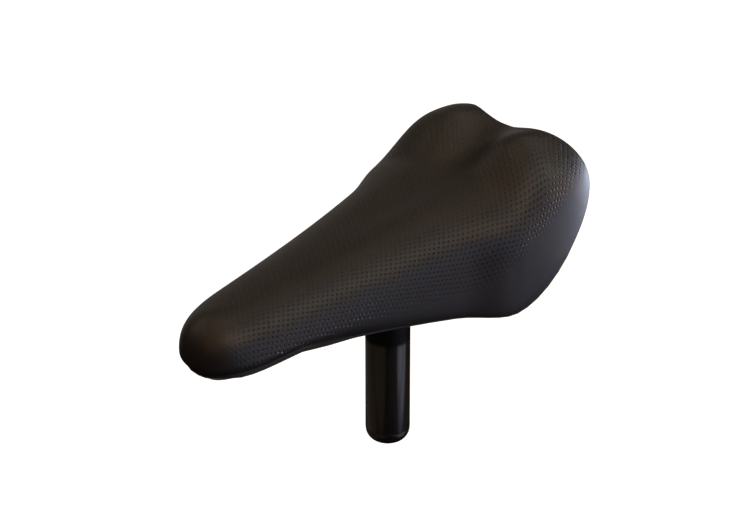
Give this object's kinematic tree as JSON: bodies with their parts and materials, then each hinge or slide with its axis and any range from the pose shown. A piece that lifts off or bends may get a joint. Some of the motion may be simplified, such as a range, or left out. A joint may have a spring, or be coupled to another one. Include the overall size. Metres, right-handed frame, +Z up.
{
  "type": "balance bike saddle",
  "caption": "Padded balance bike saddle with a rounded nose and a notched twin-lobe tail, on a plastic base screwed to a steel plate with a welded straight post.",
  "frame": {"origin": "centre of the seat post tube's lower end, on the post axis", "axes": "+X forward to the nose, +Y to the rider's left, +Z up along the post"},
  "size_m": [0.263, 0.1156, 0.1702],
  "materials": {
    "skin": "moulded vinyl skin, satin, with a fine embossed dot grain on top",
    "foam": "moulded polyurethane foam",
    "base": "moulded plastic, fine matt grain",
    "black_steel": "satin black powder coat",
    "plug": "smooth moulded plastic",
    "screw_steel": "black oxide",
    "zinc": "zinc plated",
    "brass": "turned"
  },
  "bodies": {
    "root": {"cover": "skin", "foam_pad": "foam", "base_shell": "base", "insert_front_left": "brass", "insert_front_right": "brass", "insert_rear_left": "brass", "insert_rear_right": "brass", "mounting_plate": "black_steel", "weld_bead": "black_steel", "seat_post": "black_steel", "post_end_plug": "plug", "screw_front_left": "screw_steel", "screw_front_right": "screw_steel", "screw_rear_left": "screw_steel", "screw_rear_right": "screw_steel", "washer_front_left": "zinc", "washer_front_right": "zinc", "washer_rear_left": "zinc", "washer_rear_right": "zinc"}
  },
  "joints": []
}
